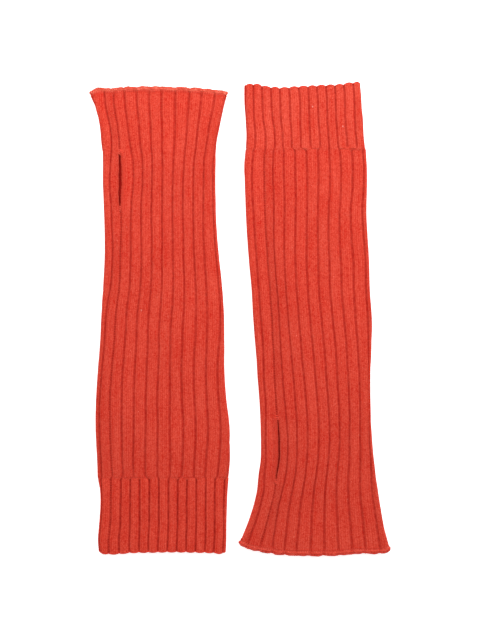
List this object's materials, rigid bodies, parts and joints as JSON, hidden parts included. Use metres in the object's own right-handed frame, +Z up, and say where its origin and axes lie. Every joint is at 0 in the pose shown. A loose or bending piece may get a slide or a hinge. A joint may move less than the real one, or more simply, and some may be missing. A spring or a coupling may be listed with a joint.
{
  "type": "pair of arm warmers",
  "caption": "Long red ribbed knit arm warmers laid flat side by side, each an open tube with a thumb slit, a narrow-ribbed elbow cuff and a cast-off hand edge.",
  "frame": {"origin": "centre of the bottom of the pair's bounding box, on the surface that the warmers lie on", "axes": "+X across from the left warmer to the right one, +Y along the warmers towards the left one's hand end, +Z up out of the surface"},
  "size_m": [0.2544, 0.4029, 0.0062],
  "materials": {
    "sleeve_wool": "soft brushed red melange wool, broad ribs",
    "cuff_wool": "soft brushed red melange wool, narrow ribs",
    "edge_wool": "soft red melange wool, cast-off chain edge"
  },
  "bodies": {
    "root": {"left_sleeve": "sleeve_wool", "left_cuff": "cuff_wool", "left_hand_edge": "edge_wool", "right_sleeve": "sleeve_wool", "right_cuff": "cuff_wool", "right_hand_edge": "edge_wool"}
  },
  "joints": []
}
